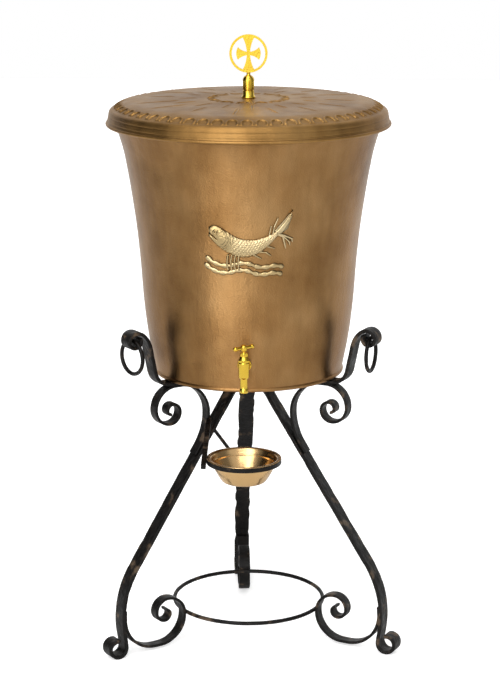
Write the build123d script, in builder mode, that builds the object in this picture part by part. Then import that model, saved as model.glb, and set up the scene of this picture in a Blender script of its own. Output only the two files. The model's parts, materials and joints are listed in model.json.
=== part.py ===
from build123d import *
import os
from math import acos, asin, atan, atan2, copysign, cos, degrees, hypot, radians, sin, sqrt, tan

os.makedirs("parts", exist_ok=True)

# Holy water urn: a spun copper vessel with a domed lid and a brass tap, which stands loose on a
# forged iron tripod. The tripod also carries a drip bowl under the tap and three ring handles.
# Lengths are in millimetres and angles in degrees. Z is up, the floor is Z = 0, the tap is at -Y.
# A heading is the direction of a bar or sheet in its own plane: 0 is outward, 90 is up.

# Stand
seat_height = 475
bar_width = 28
bar_thickness = 6
scroll_width = 20
scroll_thickness = 5
stand_turn = 5
hub_radius = 42
hub_thickness = 6
hub_leg_radius = 22
leg_splay = 34.5
knee_radius = 160
neck_lean = 9
neck_length = 20
foot_curl_radius = 15.5
foot_curl_turn = 200
foot_curl_end_radius = 13
foot_curl_end_turn = 100

# Foot scroll and floor ring
foot_scroll_radius = 48
foot_scroll_ratio = 0.69
foot_scroll_flat = 12
foot_scroll_clearance = 5
foot_scroll_lap = 6
floor_ring_rod = 7

# Upper scroll, between the leg and the underside of the support bar
upper_scroll_radius = 38
upper_scroll_ratio = 0.72
upper_scroll_reach = 190
upper_scroll_flat = 9.5
upper_scroll_inner_radius = 56
upper_scroll_lap = 16

# Support bar, which runs out under the vessel, rises beside it and ends in an eye
support_bend_radius = 29
support_lean = 12
support_rise = 46
support_shoulder_radius = 45
support_shoulder_turn = 33
support_crown_radius = 20
eye_top_radius = 14
eye_radius = 11
eye_turn = 205

# Ring handles
ring_wire = 7
ring_outer_diameter = 64
ring_contact_angle = 32

# Vessel
wall = 1.5
base_radius = 160
base_flare = 12
waist_flare = 4
shoulder_flare = 10.8
rim_flare = 24
lower_height = 145
waist_height = 30
upper_height = 190
lip_height = 72
base_bead = 3.5
rim_bead = 2.5
vessel_floor_thickness = 2
vessel_floor_recess = 8

# Lid
lid_skirt_height = 18
lid_skirt_slope = 10
lid_shoulder_radius = 8
lid_knuckle_radius = 70
lid_knuckle_slope = 36
lid_crown_radius = 4500
lid_bead = 3
lid_play = 1.3
lid_collar_depth = 14
lid_lift = 120

# Finial
cross_diameter = 64
cross_ring_width = 4
cross_thickness = 4
cross_neck_width = 5.6
cross_arm_end_width = 21
cross_side_reach = 20.5
finial_height = 41.9
finial_base_radius = 11.5
finial_base_thickness = 2.5
finial_column_radius = 9.8
finial_column_height = 29
finial_neck_radius = 3.5
finial_stud_radius = 3
finial_stud_length = 14
finial_washer_radius = 9
finial_washer_thickness = 1.2
finial_nut_across_flats = 10
finial_nut_thickness = 5
tenon_radius = 2.5
tenon_length = 8

# Fish and waves, a cast plaque held by two rivets
plaque_thickness = 4.5
plaque_height = 748
plaque_shift = 9
fin_width = 2.4
wave_width = 6
wave_pitch = 12
splash_pitch = 6
rivet_radius = 2
rivet_head_radius = 3.5
rivet_head_thickness = 1.2
rivet_depth = 3

# Tap
tap_height = 526
tap_reach = 30
tap_hex_across_flats = 19
tap_hex_length = 5
spout_end = 485
spout_ring_radius = 7
spout_ring_height = 7
spout_radius = 6.2
spout_bore = 4.2
barrel_radius = 9
barrel_top = 537
valve_chamber_radius = 6
valve_seat = 521
valve_throat_radius = 3.5
inlet_radius = 6.5
inlet_bore = 4
shank_radius = 6
shank_overrun = 3
tap_flange_radius = 11.5
tap_flange_thickness = 3
tap_washer_thickness = 4
backnut_across_flats = 22
backnut_thickness = 6
bonnet_across_flats = 17
bonnet_hex_height = 4
bonnet_height = 10
bonnet_top_radius = 6.5
bonnet_skirt = 6
packing_radius = 5
packing_height = 3.4
gland_across_flats = 12
gland_height = 6
spindle_radius = 3
spindle_screw_radius = 4
tee_height = 561
tee_length = 42
tee_rod_radius = 3
tee_ball_radius = 4
tee_boss_radius = 5.2
tee_turn = 40
tee_boss_height = 10
jumper_radius = 5.4
jumper_thickness = 2.5
jumper_washer_radius = 5
jumper_washer_thickness = 2.5
jumper_pin_radius = 1.8
jumper_pin_length = 9
tap_rise = 2.5

# Drip bowl, the hoop that it hangs in, and the arm and strut that carry the hoop
bowl_thickness = 1.2
bowl_bottom_radius = 31
bowl_corner_radius = 8
bowl_corner_turn = 55
bowl_side_radius = 130
bowl_side_turn = 17
bowl_lip_radius = 3
bowl_lip_width = 3.4
bowl_lip_height = 374
hoop_height = 7
hoop_thickness = 4.5
arm_width = 8
arm_height = 8
arm_start_height = 398
arm_overrun = 25
strut_diameter = 6
strut_start_height = 380
strut_meets_hoop_at = 115

# Clearances, and the depth that a round piece is welded into its neighbour
seat_gap = 0.3
running_clearance = 0.05
loose_clearance = 0.2
weld_depth = 0.05


def along(heading):
    """Unit vector of a heading."""
    return Vector(cos(radians(heading)), sin(radians(heading)))


def beside(heading):
    """Unit vector to the right of a heading."""
    return along(heading - 90)


def bend_shift(heading, radius, turn):
    """How far a bend moves the end of a bar. A positive turn bends to the left."""
    return (beside(heading + turn) - beside(heading)) * copysign(radius, turn)


def walk(point, heading, steps):
    """End point and heading of a bar. A step is (length, 0) or (bend radius, turn)."""
    for size, turn in steps:
        point = point + (bend_shift(heading, size, turn) if turn else along(heading) * size)
        heading = heading + turn
    return point, heading


def draw(point, heading, steps):
    """Draws the same steps as tangent lines and arcs in the open BuildLine."""
    for size, turn in steps:
        if turn:
            JernArc(point, along(heading), size, turn)
        else:
            PolarLine(point, size, heading)
        point, heading = walk(point, heading, [(size, turn)])


def spiral(radius, ratio):
    """Six quarter turns to the right, each tighter than the last by the ratio."""
    return [(radius * ratio**quarter, -90) for quarter in range(6)]


def radial_plane(azimuth):
    """Upright plane through the axis, with its X outward and its Y up."""
    return Plane(origin=(0, 0, 0), x_dir=along(azimuth), z_dir=beside(azimuth))


# Vessel side, as the middle line of the sheet
def flare_radius(height, low, high):
    """Radius of the arc that changes the flare from low to high over a height."""
    return height / abs(sin(radians(high)) - sin(radians(low)))


base_point = Vector(base_radius, seat_height + seat_gap + base_bead)
lower_curve = flare_radius(lower_height, waist_flare, base_flare)
upper_curve = flare_radius(upper_height, waist_flare, shoulder_flare)
lip_curve = flare_radius(lip_height, shoulder_flare, rim_flare)


def side_steps(out=0):
    """Steps of the vessel side, shifted outward by a distance."""
    return [
        (lower_curve + out, base_flare - waist_flare),
        (waist_height / cos(radians(waist_flare)), 0),
        (upper_curve - out, waist_flare - shoulder_flare),
        (lip_curve - out, shoulder_flare - rim_flare),
    ]


def side_shell(inner, outer):
    """Sheet along the vessel side, between two distances from the middle of the wall."""
    middle = (inner + outer) / 2
    with BuildPart() as shell:
        with BuildSketch(Plane.XZ):
            with BuildLine():
                draw(base_point + beside(90 - base_flare) * middle, 90 - base_flare, side_steps(middle))
            trace(line_width=outer - inner)
        revolve(axis=Axis.Z)
    return shell.part


def lower_wall_radius(height):
    """Radius of the middle of the wall at a height below the waist."""
    centre = base_point - beside(90 - base_flare) * lower_curve
    return centre.X + sqrt(lower_curve**2 - (height - centre.Y) ** 2)


rim_point, rim_heading = walk(base_point, 90 - base_flare, side_steps())
rim_top = rim_point.Y + rim_bead
base_outer = base_radius + base_bead

# Fish plaque: where it sits, and the two pins that hold it
plaque_origin = Vector(plaque_shift, -base_radius / 2, plaque_height)
plaque_plane = Plane(origin=plaque_origin, x_dir=(1, 0, 0), z_dir=(0, -1, 0))
plaque_back = wall / 2 + running_clearance
pin_spots = [(-32, -18), (24, -14)]


def plaque_pins(radius):
    """Two pins from inside the wall to a blind end in the plaque."""
    with BuildPart() as pins:
        add(side_shell(-wall / 2 - rivet_head_thickness, plaque_back + rivet_depth))
        with BuildSketch(plaque_plane):
            with Locations(pin_spots):
                Circle(radius)
        extrude(amount=base_radius, mode=Mode.INTERSECT)
    return pins.part


shank_hole_radius = shank_radius + loose_clearance
with BuildPart() as vessel_body:
    add(side_shell(-wall / 2, wall / 2))
    with BuildSketch(Plane.XZ):
        with Locations(base_point):
            Circle(base_bead)
        with Locations(rim_point):
            Circle(rim_bead)
    revolve(axis=Axis.Z)
    with BuildSketch(Plane.XZ.offset(base_radius / 2)):
        with Locations((0, tap_height)):
            Circle(shank_hole_radius)
    extrude(amount=base_radius, mode=Mode.SUBTRACT)
    add(plaque_pins(rivet_radius + running_clearance), mode=Mode.SUBTRACT)
vessel_body.part.label = "vessel_body"
export_step(vessel_body.part, "parts/vessel_body.step")

floor_level = base_point.Y - base_bead + vessel_floor_recess
floor_radius = lower_wall_radius(floor_level) - wall / 2 / cos(radians(base_flare))
with BuildPart() as vessel_floor:
    with BuildSketch(Plane.XY.offset(floor_level)):
        Circle(floor_radius)
    extrude(amount=vessel_floor_thickness)
vessel_floor.part.label = "vessel_floor"
export_step(vessel_floor.part, "parts/vessel_floor.step")

# Lid: crown, knuckle, shoulder and skirt in one sheet, with a wired edge
collar_level = rim_top + seat_gap + wall / 2
skirt_inner = rim_point.X + rim_bead + lid_play
skirt_top_radius = skirt_inner + wall / 2 / cos(radians(lid_skirt_slope))
skirt_heading = lid_skirt_slope - 90
shoulder_turn = skirt_heading + lid_knuckle_slope
shoulder_shift = bend_shift(-lid_knuckle_slope, lid_shoulder_radius, shoulder_turn)
knuckle_end = skirt_top_radius - shoulder_shift.X
crown_run = knuckle_end - lid_knuckle_radius * sin(radians(lid_knuckle_slope))
crown_slope = degrees(asin(crown_run / (lid_crown_radius - lid_knuckle_radius)))
lid_steps = [
    (lid_crown_radius, -crown_slope),
    (lid_knuckle_radius, crown_slope - lid_knuckle_slope),
    (lid_shoulder_radius, shoulder_turn),
    (lid_skirt_height / cos(radians(lid_skirt_slope)), 0),
]
skirt_top_shift, _ = walk(Vector(0, 0), 0, lid_steps[:3])
lid_apex = Vector(0, collar_level + wall - skirt_top_shift.Y)
lid_edge, _ = walk(lid_apex, 0, lid_steps)
lid_top = lid_apex.Y + wall / 2
stud_hole_radius = finial_stud_radius + loose_clearance
collar_reach = skirt_inner + wall / 2 * tan(radians(lid_skirt_slope))

with BuildPart() as lid_shell:
    with BuildSketch(Plane.XZ):
        with BuildLine():
            draw(lid_apex, 0, lid_steps)
        trace(line_width=wall)
        with Locations(lid_edge):
            Circle(lid_bead)
    revolve(axis=Axis.Z)
    with BuildSketch(Plane.XY.offset(lid_top + wall)):
        Circle(stud_hole_radius)
    extrude(amount=-3 * wall, mode=Mode.SUBTRACT)
lid_shell.part.label = "lid_shell"
export_step(lid_shell.part, "parts/lid_shell.step")

# Collar inside the lid: its flange rests on the rim and its band centres the lid in the mouth
mouth_narrowing = (lid_collar_depth + rim_bead) * tan(radians(rim_flare))
collar_radius = rim_point.X - mouth_narrowing - wall - lid_play
with BuildPart() as lid_collar:
    with BuildSketch(Plane.XZ):
        with BuildLine():
            Polyline(
                (collar_radius, collar_level - lid_collar_depth),
                (collar_radius, collar_level),
                (collar_reach, collar_level),
            )
        trace(line_width=wall)
    revolve(axis=Axis.Z)
lid_collar.part.label = "lid_collar"
export_step(lid_collar.part, "parts/lid_collar.step")

# Finial: a column screwed through the crown of the lid, and a cross in a ring on top of it
finial_top = lid_top + finial_height
tenon_hole = (tenon_radius + running_clearance, finial_top - tenon_length - loose_clearance)
cap_start = Vector(finial_column_radius, lid_top + finial_column_height)
cap_turn = degrees(acos(finial_neck_radius / finial_column_radius))
cap_end, _ = walk(cap_start, 90, [(finial_column_radius, cap_turn)])
with BuildPart() as finial_column:
    with BuildSketch(Plane.XZ):
        with BuildLine():
            Polyline(
                (0, lid_top - finial_stud_length),
                (finial_stud_radius, lid_top - finial_stud_length),
                (finial_stud_radius, lid_top),
                (finial_base_radius, lid_top),
                (finial_base_radius, lid_top + finial_base_thickness),
                (finial_column_radius, lid_top + 2 * finial_base_thickness),
                cap_start,
            )
            JernArc(cap_start, (0, 1), finial_column_radius, cap_turn)
            Polyline(
                cap_end,
                (finial_neck_radius, finial_top),
                (tenon_hole[0], finial_top),
                tenon_hole,
                (0, tenon_hole[1]),
                (0, lid_top - finial_stud_length),
            )
        make_face()
    revolve(axis=Axis.Z)
finial_column.part.label = "finial_column"
export_step(finial_column.part, "parts/finial_column.step")

cross_radius = cross_diameter / 2
cross_plane = Plane(origin=(0, 0, finial_top + cross_radius), x_dir=(1, 0, 0), z_dir=(0, -1, 0))
cross_neck = cross_neck_width / 2
cross_arm_end = cross_arm_end_width / 2
upright_end = sqrt((cross_radius - cross_ring_width / 2) ** 2 - cross_arm_end**2)
side_end = sqrt(cross_side_reach**2 - cross_arm_end**2)
with BuildPart() as finial_cross:
    with BuildSketch(cross_plane):
        Circle(cross_radius)
        Circle(cross_radius - cross_ring_width, mode=Mode.SUBTRACT)
        with BuildLine():
            ThreePointArc((-cross_arm_end, upright_end), (-cross_neck, 0), (-cross_arm_end, -upright_end))
            Line((-cross_arm_end, -upright_end), (cross_arm_end, -upright_end))
            ThreePointArc((cross_arm_end, -upright_end), (cross_neck, 0), (cross_arm_end, upright_end))
            Line((cross_arm_end, upright_end), (-cross_arm_end, upright_end))
        make_face()
        with BuildLine():
            ThreePointArc((-side_end, cross_arm_end), (0, cross_neck), (side_end, cross_arm_end))
            ThreePointArc((side_end, cross_arm_end), (cross_side_reach, 0), (side_end, -cross_arm_end))
            ThreePointArc((side_end, -cross_arm_end), (0, -cross_neck), (-side_end, -cross_arm_end))
            ThreePointArc((-side_end, -cross_arm_end), (-cross_side_reach, 0), (-side_end, cross_arm_end))
        make_face()
    extrude(amount=cross_thickness / 2, both=True)
    with BuildSketch(Plane.XY.offset(finial_top + cross_ring_width / 2)):
        Circle(tenon_radius)
    extrude(amount=-tenon_length - cross_ring_width / 2)
finial_cross.part.label = "finial_cross"
export_step(finial_cross.part, "parts/finial_cross.step")

lid_underside = lid_top - wall - running_clearance
with BuildPart() as finial_washer:
    with BuildSketch(Plane.XY.offset(lid_underside)):
        Circle(finial_washer_radius)
        Circle(stud_hole_radius, mode=Mode.SUBTRACT)
    extrude(amount=-finial_washer_thickness)
finial_washer.part.label = "finial_washer"
export_step(finial_washer.part, "parts/finial_washer.step")

with BuildPart() as finial_nut:
    with BuildSketch(Plane.XY.offset(lid_underside - finial_washer_thickness)):
        RegularPolygon(finial_nut_across_flats / 2, 6, major_radius=False)
        Circle(finial_stud_radius + running_clearance, mode=Mode.SUBTRACT)
    extrude(amount=-finial_nut_thickness)
finial_nut.part.label = "finial_nut"
export_step(finial_nut.part, "parts/finial_nut.step")

# Fish over two bands of waves: one casting that lies against the side of the vessel
wave_steps = [(42, 65), (40, -45), (40, 40), (30, -35)]
with BuildPart() as fish_plaque:
    add(side_shell(plaque_back, plaque_back + plaque_thickness))
    with BuildSketch(plaque_plane):
        with BuildLine():
            ThreePointArc((-68, 13), (-50, 13), (-34, 2))
            ThreePointArc((-34, 2), (0, -9), (45, 8))
            Line((45, 8), (70, 39))
            ThreePointArc((70, 39), (67, 23), (52, 0))
            ThreePointArc((52, 0), (64, -4), (69, -15))
            Line((69, -15), (58, -25))
            ThreePointArc((58, -25), (54, -14), (43, -8))
            ThreePointArc((43, -8), (22, -26), (-12, -39.5))
            ThreePointArc((-12, -39.5), (-40, -31), (-56, -18))
            ThreePointArc((-56, -18), (-63, -13), (-66, -5))
            Polyline((-66, -5), (-52, -8), (-70, 4), (-68, 13))
        make_face()
        with BuildLine():
            Line((33, -4), (35, 12))
        trace(line_width=fin_width)
        with BuildLine():
            Line((39, 2), (45, 25))
        trace(line_width=fin_width)
        with BuildLine():
            Line((26, -20), (40, -23))
        trace(line_width=fin_width)
        with BuildLine():
            Line((14, -29), (34, -35))
        trace(line_width=fin_width)
        with BuildLine():
            Line((4, -34), (19, -41))
        trace(line_width=fin_width)
        for splash in range(4):
            with BuildLine():
                draw(Vector(-35 + splash * splash_pitch, -35), -105, [(2 * (wave_pitch + 11), 30)])
            trace(line_width=fin_width)
        with BuildLine():
            draw(Vector(-69, -40), -45, wave_steps)
        trace(line_width=wave_width)
        with BuildLine():
            draw(Vector(-71, -40 - wave_pitch), -45, wave_steps)
        trace(line_width=wave_width)
    extrude(amount=base_radius, mode=Mode.INTERSECT)
    add(plaque_pins(rivet_radius + running_clearance), mode=Mode.SUBTRACT)
fish_plaque.part.label = "fish_plaque"
export_step(fish_plaque.part, "parts/fish_plaque.step")

with BuildPart() as fish_rivets:
    add(side_shell(-wall / 2 - running_clearance - rivet_head_thickness, -wall / 2 - running_clearance))
    with BuildSketch(plaque_plane):
        with Locations(pin_spots):
            Circle(rivet_head_radius)
    extrude(amount=base_radius, mode=Mode.INTERSECT)
    add(plaque_pins(rivet_radius))
fish_rivets.part.label = "fish_rivets"
export_step(fish_rivets.part, "parts/fish_rivets.step")

# Tap. Its parts lie on two lines: the inlet along Y, and the upright line of spout and spindle.
wall_outside = lower_wall_radius(tap_height) + wall / 2
wall_inside = wall_outside - wall
tap_axis_reach = wall_outside + tap_reach
flange_face = wall_outside + tap_washer_thickness
backnut_face = wall_inside - tap_washer_thickness
shank_end = backnut_face - backnut_thickness - shank_overrun
hex_start = flange_face + tap_flange_thickness
tap_axis = Axis((0, -tap_axis_reach, 0), (0, 0, 1))
tap_plane = Plane(origin=(0, -tap_axis_reach, 0), x_dir=(1, 0, 0), z_dir=(0, -1, 0))
with BuildPart() as tap_body:
    with BuildSketch(tap_plane):
        with BuildLine():
            Polyline(
                (0, spout_end),
                (spout_ring_radius, spout_end),
                (spout_ring_radius, spout_end + spout_ring_height),
                (spout_radius, spout_end + spout_ring_height + 1),
                (spout_radius, valve_seat - 2 * spout_radius),
                (barrel_radius, valve_seat - barrel_radius),
                (barrel_radius, barrel_top),
                (0, barrel_top),
                (0, spout_end),
            )
        make_face()
    revolve(axis=tap_axis)
    with BuildSketch(Plane.XZ.offset(shank_end)):
        with Locations((0, tap_height)):
            Circle(shank_radius)
    extrude(amount=flange_face - shank_end)
    with BuildSketch(Plane.XZ.offset(flange_face)):
        with Locations((0, tap_height)):
            Circle(tap_flange_radius)
    extrude(amount=tap_flange_thickness)
    with BuildSketch(Plane.XZ.offset(hex_start)):
        with Locations((0, tap_height)):
            RegularPolygon(tap_hex_across_flats / 2, 6, major_radius=False, rotation=30)
    extrude(amount=tap_hex_length)
    with BuildSketch(Plane.XZ.offset(hex_start)):
        with Locations((0, tap_height)):
            Circle(inlet_radius)
    extrude(amount=tap_axis_reach - hex_start)
    with BuildSketch(tap_plane):
        with BuildLine():
            Polyline(
                (0, spout_end - 1),
                (spout_bore, spout_end - 1),
                (spout_bore, valve_seat - 5),
                (valve_throat_radius, valve_seat - 5),
                (valve_throat_radius, valve_seat),
                (valve_chamber_radius, valve_seat),
                (valve_chamber_radius, barrel_top + 1),
                (0, barrel_top + 1),
                (0, spout_end - 1),
            )
        make_face()
    revolve(axis=tap_axis, mode=Mode.SUBTRACT)
    with BuildSketch(Plane.XZ.offset(shank_end)):
        with Locations((0, tap_height)):
            Circle(inlet_bore)
    extrude(amount=tap_axis_reach - shank_end, mode=Mode.SUBTRACT)
tap_body.part.label = "tap_body"
export_step(tap_body.part, "parts/tap_body.step")

with BuildPart() as tap_outer_washer:
    with BuildSketch(Plane.XZ.offset(flange_face)):
        with Locations((0, tap_height)):
            Circle(tap_flange_radius)
            Circle(shank_radius + running_clearance, mode=Mode.SUBTRACT)
    extrude(amount=-2 * tap_washer_thickness)
    add(side_shell(-4 * tap_washer_thickness, wall / 2 + running_clearance), mode=Mode.SUBTRACT)
tap_outer_washer.part.label = "tap_outer_washer"
export_step(tap_outer_washer.part, "parts/tap_outer_washer.step")

with BuildPart() as tap_inner_washer:
    with BuildSketch(Plane.XZ.offset(backnut_face)):
        with Locations((0, tap_height)):
            Circle(tap_flange_radius)
            Circle(shank_radius + running_clearance, mode=Mode.SUBTRACT)
    extrude(amount=2 * tap_washer_thickness)
    add(side_shell(-wall / 2 - running_clearance, 4 * tap_washer_thickness), mode=Mode.SUBTRACT)
tap_inner_washer.part.label = "tap_inner_washer"
export_step(tap_inner_washer.part, "parts/tap_inner_washer.step")

with BuildPart() as tap_backnut:
    with BuildSketch(Plane.XZ.offset(backnut_face)):
        with Locations((0, tap_height)):
            RegularPolygon(backnut_across_flats / 2, 6, major_radius=False)
            Circle(shank_radius + running_clearance, mode=Mode.SUBTRACT)
    extrude(amount=-backnut_thickness)
tap_backnut.part.label = "tap_backnut"
export_step(tap_backnut.part, "parts/tap_backnut.step")

screw_bore = spindle_screw_radius + running_clearance
stem_bore = spindle_radius + running_clearance
skirt_radius = valve_chamber_radius - running_clearance
bonnet_top = barrel_top + bonnet_height
gland_nose = bonnet_top - 0.5
packing_floor = gland_nose - packing_height
with BuildPart() as tap_bonnet:
    with BuildSketch(tap_plane):
        with BuildLine():
            Polyline(
                (screw_bore, barrel_top - bonnet_skirt),
                (skirt_radius, barrel_top - bonnet_skirt),
                (skirt_radius, barrel_top),
                (bonnet_across_flats / 2, barrel_top),
                (bonnet_across_flats / 2, barrel_top + bonnet_hex_height),
                (bonnet_top_radius, bonnet_top),
                (packing_radius, bonnet_top),
                (packing_radius, packing_floor),
                (screw_bore, packing_floor),
                (screw_bore, barrel_top - bonnet_skirt),
            )
        make_face()
    revolve(axis=tap_axis)
    with BuildSketch(Plane.XY.offset(barrel_top)):
        with Locations((0, -tap_axis_reach)):
            RegularPolygon(bonnet_across_flats / 2, 6, major_radius=False)
            Circle(valve_chamber_radius, mode=Mode.SUBTRACT)
    extrude(amount=bonnet_hex_height)
tap_bonnet.part.label = "tap_bonnet"
export_step(tap_bonnet.part, "parts/tap_bonnet.step")

with BuildPart() as tap_packing:
    with BuildSketch(Plane.XY.offset(packing_floor)):
        with Locations((0, -tap_axis_reach)):
            Circle(packing_radius - running_clearance)
            Circle(stem_bore, mode=Mode.SUBTRACT)
    extrude(amount=packing_height)
tap_packing.part.label = "tap_packing"
export_step(tap_packing.part, "parts/tap_packing.step")

with BuildPart() as tap_gland_nut:
    with BuildSketch(Plane.XY.offset(bonnet_top)):
        with Locations((0, -tap_axis_reach)):
            RegularPolygon(gland_across_flats / 2, 6, major_radius=False)
    extrude(amount=gland_height)
    with BuildSketch(Plane.XY.offset(gland_nose)):
        with Locations((0, -tap_axis_reach)):
            Circle(packing_radius - running_clearance)
    extrude(amount=bonnet_top - gland_nose)
    with BuildSketch(Plane.XY.offset(gland_nose)):
        with Locations((0, -tap_axis_reach)):
            Circle(stem_bore)
    extrude(amount=2 * gland_height, mode=Mode.SUBTRACT)
tap_gland_nut.part.label = "tap_gland_nut"
export_step(tap_gland_nut.part, "parts/tap_gland_nut.step")

# Jumper: the disc and pin that close the valve seat, with a rubber washer under the disc
jumper_floor = valve_seat + running_clearance + jumper_washer_thickness
jumper_top = jumper_floor + jumper_thickness
with BuildPart() as jumper_washer:
    with BuildSketch(Plane.XY.offset(valve_seat + running_clearance)):
        with Locations((0, -tap_axis_reach)):
            Circle(jumper_washer_radius)
    extrude(amount=jumper_washer_thickness)
jumper_washer.part.label = "jumper_washer"
export_step(jumper_washer.part, "parts/jumper_washer.step")

with BuildPart() as tap_jumper:
    with BuildSketch(Plane.XY.offset(jumper_floor)):
        with Locations((0, -tap_axis_reach)):
            Circle(jumper_radius)
    extrude(amount=jumper_thickness)
    with BuildSketch(Plane.XY.offset(jumper_top)):
        with Locations((0, -tap_axis_reach)):
            Circle(jumper_pin_radius)
    extrude(amount=jumper_pin_length)
tap_jumper.part.label = "tap_jumper"
export_step(tap_jumper.part, "parts/tap_jumper.step")

# Spindle with its screw, and the tee bar through its head
spindle_foot = jumper_top + running_clearance
screw_top = packing_floor - tap_rise - loose_clearance
head_floor = tee_height - tee_boss_height / 2
tee_bar_half = tee_length / 2 - tee_ball_radius
tee_direction = (cos(radians(tee_turn)), sin(radians(tee_turn)), 0)
tee_plane = Plane(origin=(0, -tap_axis_reach, tee_height), z_dir=tee_direction)
with BuildPart() as tap_spindle:
    with BuildSketch(tap_plane):
        with BuildLine():
            Polyline(
                (jumper_pin_radius + loose_clearance, spindle_foot),
                (spindle_screw_radius, spindle_foot),
                (spindle_screw_radius, screw_top),
                (spindle_radius, screw_top),
                (spindle_radius, head_floor),
                (tee_boss_radius, head_floor + 1),
                (tee_boss_radius, head_floor + tee_boss_height - 2),
                (spindle_radius, head_floor + tee_boss_height),
                (0, head_floor + tee_boss_height),
                (0, spindle_foot + jumper_pin_length + loose_clearance),
                (jumper_pin_radius + loose_clearance, spindle_foot + jumper_pin_length + loose_clearance),
                (jumper_pin_radius + loose_clearance, spindle_foot),
            )
        make_face()
    revolve(axis=tap_axis)
    with BuildSketch(tee_plane):
        Circle(tee_rod_radius + running_clearance)
    extrude(amount=2 * tee_boss_radius, both=True, mode=Mode.SUBTRACT)
tap_spindle.part.label = "tap_spindle"
export_step(tap_spindle.part, "parts/tap_spindle.step")

with BuildPart() as tap_tee_bar:
    with BuildSketch(tee_plane):
        Circle(tee_rod_radius)
    extrude(amount=tee_bar_half, both=True)
    with Locations(tee_plane.offset(tee_bar_half), tee_plane.offset(-tee_bar_half)):
        Sphere(tee_ball_radius)
tap_tee_bar.part.label = "tap_tee_bar"
export_step(tap_tee_bar.part, "parts/tap_tee_bar.step")

# Drip bowl, hung by its lip in the hoop under the spout
bowl_steps = [
    (bowl_bottom_radius, 0),
    (bowl_corner_radius, bowl_corner_turn),
    (bowl_side_radius, bowl_side_turn),
    (bowl_lip_radius, -bowl_corner_turn - bowl_side_turn),
    (bowl_lip_width, 0),
]
bowl_depth = walk(Vector(0, 0), 0, bowl_steps)[0].Y
bowl_floor = Vector(0, bowl_lip_height - bowl_depth)
hoop_inner = walk(bowl_floor, 0, bowl_steps[:4])[0].X
with BuildPart() as drip_bowl:
    with BuildSketch(tap_plane):
        with BuildLine():
            draw(bowl_floor, 0, bowl_steps)
        trace(line_width=bowl_thickness)
    revolve(axis=tap_axis)
drip_bowl.part.label = "drip_bowl"
export_step(drip_bowl.part, "parts/drip_bowl.step")

hoop_outer = hoop_inner + hoop_thickness
hoop_top = bowl_lip_height - bowl_thickness / 2 - seat_gap
hoop_middle = hoop_top - hoop_height / 2
with BuildPart() as bowl_hoop:
    with BuildSketch(Plane.XY.offset(hoop_top)):
        with Locations((0, -tap_axis_reach)):
            Circle(hoop_outer)
            Circle(hoop_inner, mode=Mode.SUBTRACT)
    extrude(amount=-hoop_height)
bowl_hoop.part.label = "bowl_hoop"
export_step(bowl_hoop.part, "parts/bowl_hoop.step")

# Stand. Each leg is one bar: straight, knee, neck and the curl that it stands on.
support_middle = seat_height - bar_thickness / 2
support_underside = seat_height - bar_thickness
hub_underside = support_underside - hub_thickness
leg_heading = 270 + leg_splay
leg_top = Vector(hub_leg_radius, hub_underside)
foot_steps = [
    (knee_radius, -leg_splay - neck_lean),
    (neck_length, 0),
    (foot_curl_radius, foot_curl_turn),
    (foot_curl_end_radius, foot_curl_end_turn),
]
neck_end, _ = walk(Vector(0, 0), leg_heading, foot_steps[:2])
foot_drop = foot_curl_radius * (1 + sin(radians(neck_lean))) - neck_end.Y + bar_thickness / 2
leg_length = (hub_underside - foot_drop) / cos(radians(leg_splay))
leg_steps = [(leg_length, 0)] + foot_steps
leg_start = leg_top - along(leg_heading) * bar_thickness

# Foot scroll: it laps the inner side of the leg where the leg comes upright
scroll_offset = (bar_thickness + scroll_thickness) / 2
lap_steps = [(leg_length, 0), (knee_radius, foot_scroll_lap - leg_splay)]
lap_point, lap_heading = walk(leg_top, leg_heading, lap_steps)
foot_scroll_start = lap_point + beside(lap_heading) * scroll_offset
foot_lap_step = (knee_radius - scroll_offset, -foot_scroll_lap)
leg_upright, _ = walk(foot_scroll_start, lap_heading, [foot_lap_step])
foot_scroll_drop = leg_upright.Y - foot_scroll_clearance - scroll_thickness / 2
foot_scroll_steps = [foot_lap_step, (foot_scroll_drop, -90), (foot_scroll_flat, 0)]
foot_scroll_steps += spiral(foot_scroll_radius, foot_scroll_ratio)
scroll_side, _ = walk(foot_scroll_start, lap_heading, foot_scroll_steps[:4])

# Upper scroll: from the leg up to the support bar, along it and down into a spiral
upper_flat_start = Vector(
    upper_scroll_reach - upper_scroll_radius - upper_scroll_flat,
    support_underside - scroll_thickness / 2,
)
upper_drop = [(upper_scroll_inner_radius, 90)]
upper_inner, _ = walk(upper_flat_start, 180, upper_drop)
leg_gap = (upper_inner - leg_top).dot(along(leg_splay)) - scroll_offset
upper_drop += [(leg_gap / (1 - cos(radians(leg_splay))), leg_splay), (upper_scroll_lap, 0)]
upper_scroll_start, _ = walk(upper_flat_start, 180, upper_drop)
upper_scroll_steps = [
    (upper_scroll_lap, 0),
    (upper_drop[1][0], -leg_splay),
    (upper_scroll_inner_radius, -90),
    (upper_scroll_flat, 0),
]
upper_scroll_steps += spiral(upper_scroll_radius, upper_scroll_ratio)

# Support bar: out under the vessel, up beside its base and over into an eye
support_start = Vector(bar_width / 2 / tan(radians(60)) + seat_gap, support_middle)
support_foot = base_outer + loose_clearance - support_start.X
crown_turn = 90 - support_lean - support_shoulder_turn
support_steps = [
    (support_foot, 0),
    (support_bend_radius, 90 - support_lean),
    (support_rise, 0),
    (support_shoulder_radius, -support_shoulder_turn),
    (support_crown_radius, -crown_turn),
    (eye_top_radius, -90),
    (eye_radius, -eye_turn),
]
eye_side, _ = walk(support_start, 0, support_steps[:6])
eye_centre = eye_side - Vector(eye_radius, 0)
eye_bore = eye_radius - bar_thickness / 2

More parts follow.
